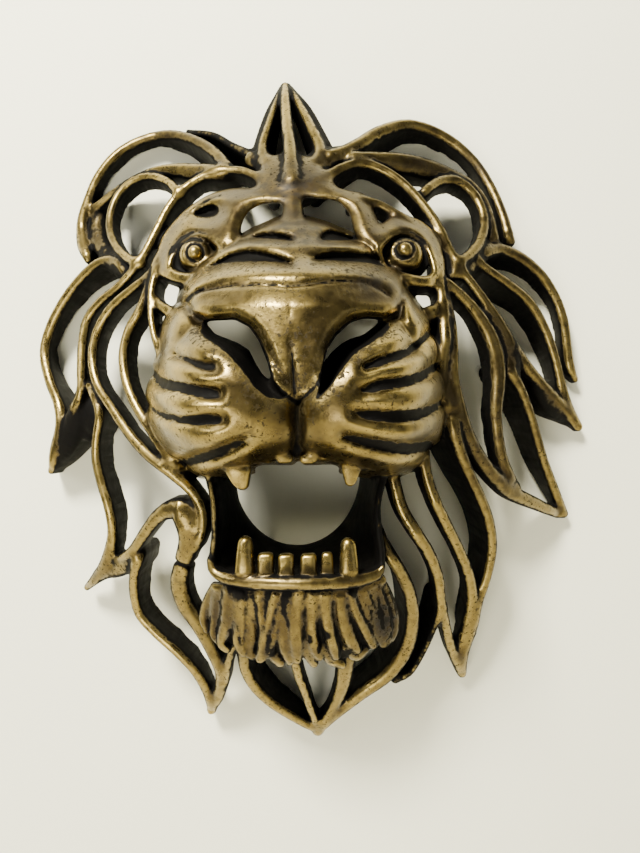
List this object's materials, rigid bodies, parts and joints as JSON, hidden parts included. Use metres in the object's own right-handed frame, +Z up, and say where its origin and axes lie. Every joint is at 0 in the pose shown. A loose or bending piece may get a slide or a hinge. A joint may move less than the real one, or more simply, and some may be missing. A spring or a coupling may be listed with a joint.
{
  "type": "lion head wall mask",
  "caption": "Openwork roaring lion head mask, cast hollow, with a pierced mane, bared teeth and a tufted beard, made to hang flat on a wall.",
  "frame": {"origin": "flat back of the crest's middle rib, where the mask bears on the wall and hangs", "axes": "+Y into the wall, so the lion looks along -Y; +Z up the face to the crest; +X to the right as you face the mask"},
  "size_m": [0.3305, 0.146, 0.3985],
  "materials": {
    "casting": "cast resin in worn antique brass paint, dark in the recesses"
  },
  "bodies": {
    "root": {"lion_mask": "casting"}
  },
  "joints": []
}
